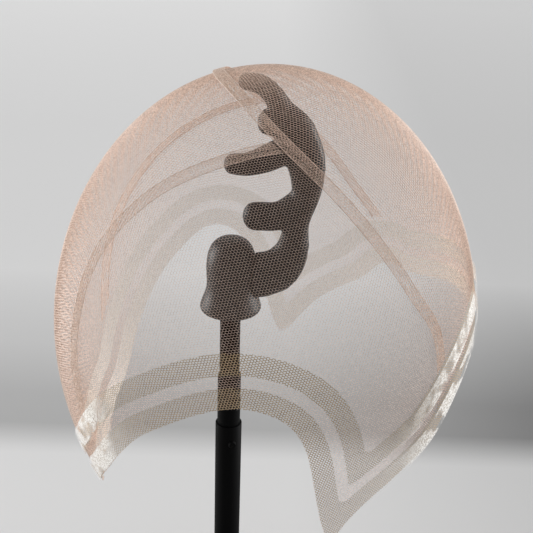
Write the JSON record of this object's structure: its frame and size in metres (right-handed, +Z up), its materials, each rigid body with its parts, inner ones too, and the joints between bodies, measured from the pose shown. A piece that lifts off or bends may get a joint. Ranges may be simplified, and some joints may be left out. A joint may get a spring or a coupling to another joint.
{
  "type": "lace wig cap on a wig stand",
  "caption": "Sheer dome-shaped lace wig cap with seamed panels, ear tabs and a double ribbon hem, hung on a ribbed black stand with a telescoping pole and round foot.",
  "frame": {"origin": "middle of the foot's flat underside, on the pole's axis and on the surface the stand rests on", "axes": "+Z up along the pole, +X to the cap's front, which is turned a little towards +Y, +Y to the wearer's left"},
  "size_m": [0.2006, 0.1713, 0.3392],
  "materials": {
    "lace": "sheer hexagonal net of fine nylon thread",
    "seam_tape": "doubled net with two stitched edges",
    "hem_ribbon": "sheer satin nylon ribbon over net",
    "stand_plastic": "satin black moulded plastic",
    "stand_tube": "black enamelled tube"
  },
  "bodies": {
    "root": {"front_panel": "lace", "back_panel": "lace", "right_panel": "lace", "left_panel": "lace", "right_seam_tape": "seam_tape", "left_seam_tape": "seam_tape", "front_seam_tape": "seam_tape", "outer_hem_band": "hem_ribbon", "inner_hem_band": "hem_ribbon", "stand_arm": "stand_plastic", "stand_socket": "stand_plastic", "upper_tube": "stand_tube", "middle_tube": "stand_tube", "lower_tube": "stand_tube", "snap_button": "stand_tube", "stand_foot": "stand_plastic"}
  },
  "joints": []
}
